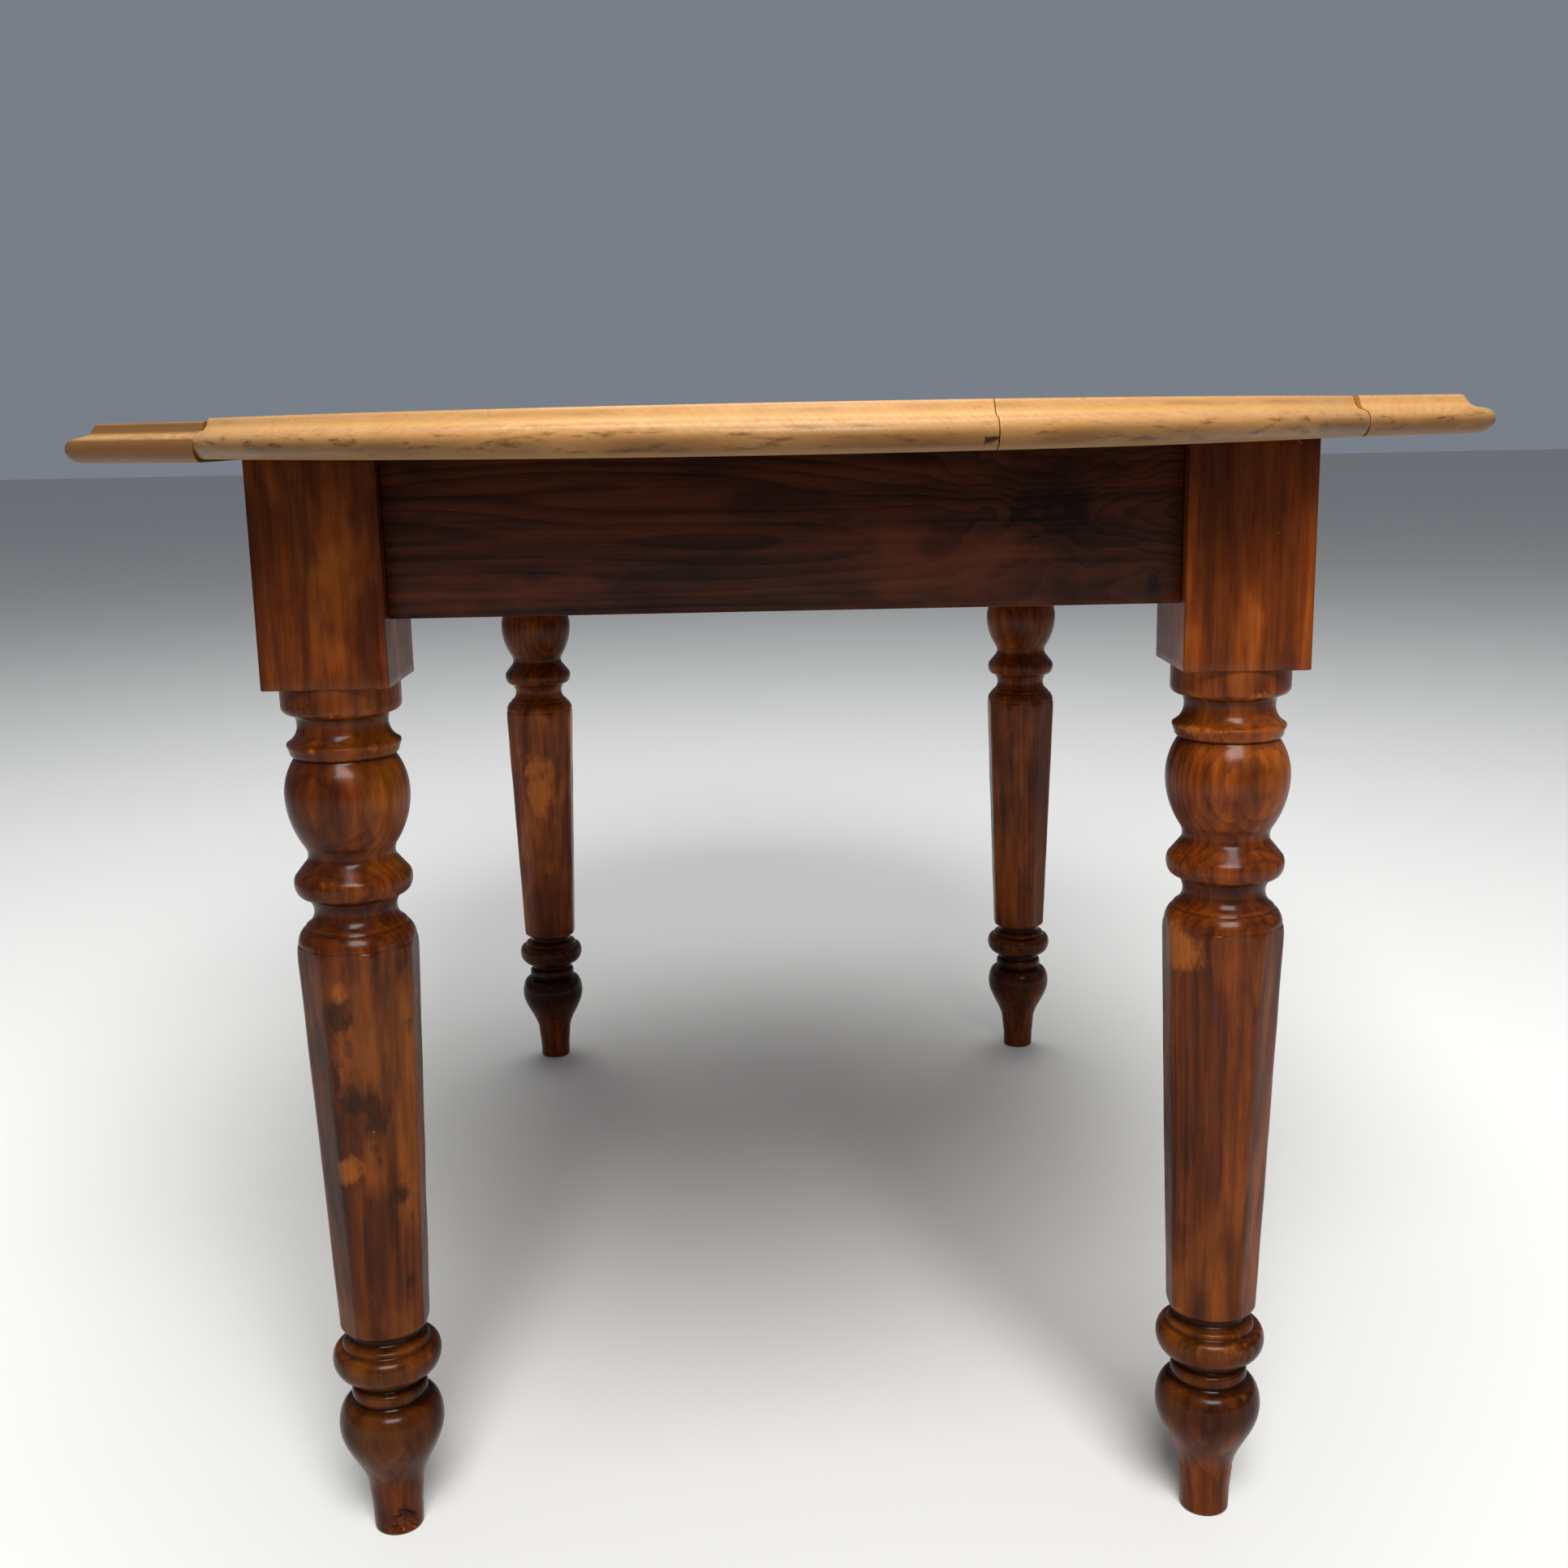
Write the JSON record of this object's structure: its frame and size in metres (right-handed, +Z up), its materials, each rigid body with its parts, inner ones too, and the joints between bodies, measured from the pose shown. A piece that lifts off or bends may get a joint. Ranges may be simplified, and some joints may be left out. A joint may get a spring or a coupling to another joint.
{
  "type": "drop leaf table",
  "caption": "Wooden dining table on turned, tapered octagonal legs, with a bow-ended top and a shaped, hinged drop leaf along each side.",
  "frame": {"origin": "on the floor, at the middle of the table", "axes": "+Z up, +Y along the table towards the back end, +X across it towards the right leaf"},
  "size_m": [1.0194, 1.5054, 0.743],
  "materials": {
    "top_wood": "waxed honey pine, satin",
    "leg_wood": "red-brown stained, glossy varnish",
    "rail_wood": "dark brown stained, satin varnish",
    "bare_wood": "unfinished, aged, matte",
    "hinge_iron": "aged, dull",
    "screw_steel": "aged, dull"
  },
  "bodies": {
    "root": {"top_board_wide": "top_wood", "top_board_narrow": "top_wood", "leg_front_left": "leg_wood", "leg_front_right": "leg_wood", "leg_back_left": "leg_wood", "leg_back_right": "leg_wood", "end_rail_front": "rail_wood", "end_rail_back": "rail_wood", "side_rail_left": "rail_wood", "side_rail_right": "rail_wood", "top_button_1": "bare_wood", "top_button_screw_1": "screw_steel", "top_button_2": "bare_wood", "top_button_screw_2": "screw_steel", "top_button_3": "bare_wood", "top_button_screw_3": "screw_steel", "top_button_4": "bare_wood", "top_button_screw_4": "screw_steel", "top_button_5": "bare_wood", "top_button_screw_5": "screw_steel", "top_button_6": "bare_wood", "top_button_screw_6": "screw_steel", "top_button_7": "bare_wood", "top_button_screw_7": "screw_steel", "top_button_8": "bare_wood", "top_button_screw_8": "screw_steel", "left_hinge_top_plate_1": "hinge_iron", "left_hinge_pin_1": "hinge_iron", "left_hinge_top_plate_2": "hinge_iron", "left_hinge_pin_2": "hinge_iron", "left_hinge_top_plate_3": "hinge_iron", "left_hinge_pin_3": "hinge_iron", "left_bracket_block": "bare_wood", "left_bracket_arm": "bare_wood", "left_bracket_pin": "hinge_iron", "left_bracket_screw_1": "screw_steel", "left_bracket_screw_2": "screw_steel", "right_hinge_top_plate_1": "hinge_iron", "right_hinge_pin_1": "hinge_iron", "right_hinge_top_plate_2": "hinge_iron", "right_hinge_pin_2": "hinge_iron", "right_hinge_top_plate_3": "hinge_iron", "right_hinge_pin_3": "hinge_iron", "right_bracket_block": "bare_wood", "right_bracket_arm": "bare_wood", "right_bracket_pin": "hinge_iron", "right_bracket_screw_1": "screw_steel", "right_bracket_screw_2": "screw_steel"},
    "left_leaf": {"left_leaf": "top_wood", "left_hinge_leaf_plate_1": "hinge_iron", "left_hinge_leaf_plate_2": "hinge_iron", "left_hinge_leaf_plate_3": "hinge_iron"},
    "right_leaf": {"right_leaf": "top_wood", "right_hinge_leaf_plate_1": "hinge_iron", "right_hinge_leaf_plate_2": "hinge_iron", "right_hinge_leaf_plate_3": "hinge_iron"}
  },
  "joints": [
    {"name": "right_leaf_hinge", "type": "hinge", "parent": "root", "child": "right_leaf", "pos_m": [0.331, 0, 0.7185], "axis": [0, 1, 0], "range_deg": [0, 90]},
    {"name": "left_leaf_hinge", "type": "hinge", "parent": "root", "child": "left_leaf", "pos_m": [-0.331, 0, 0.7185], "axis": [0, -1, 0], "range_deg": [0, 90]}
  ]
}
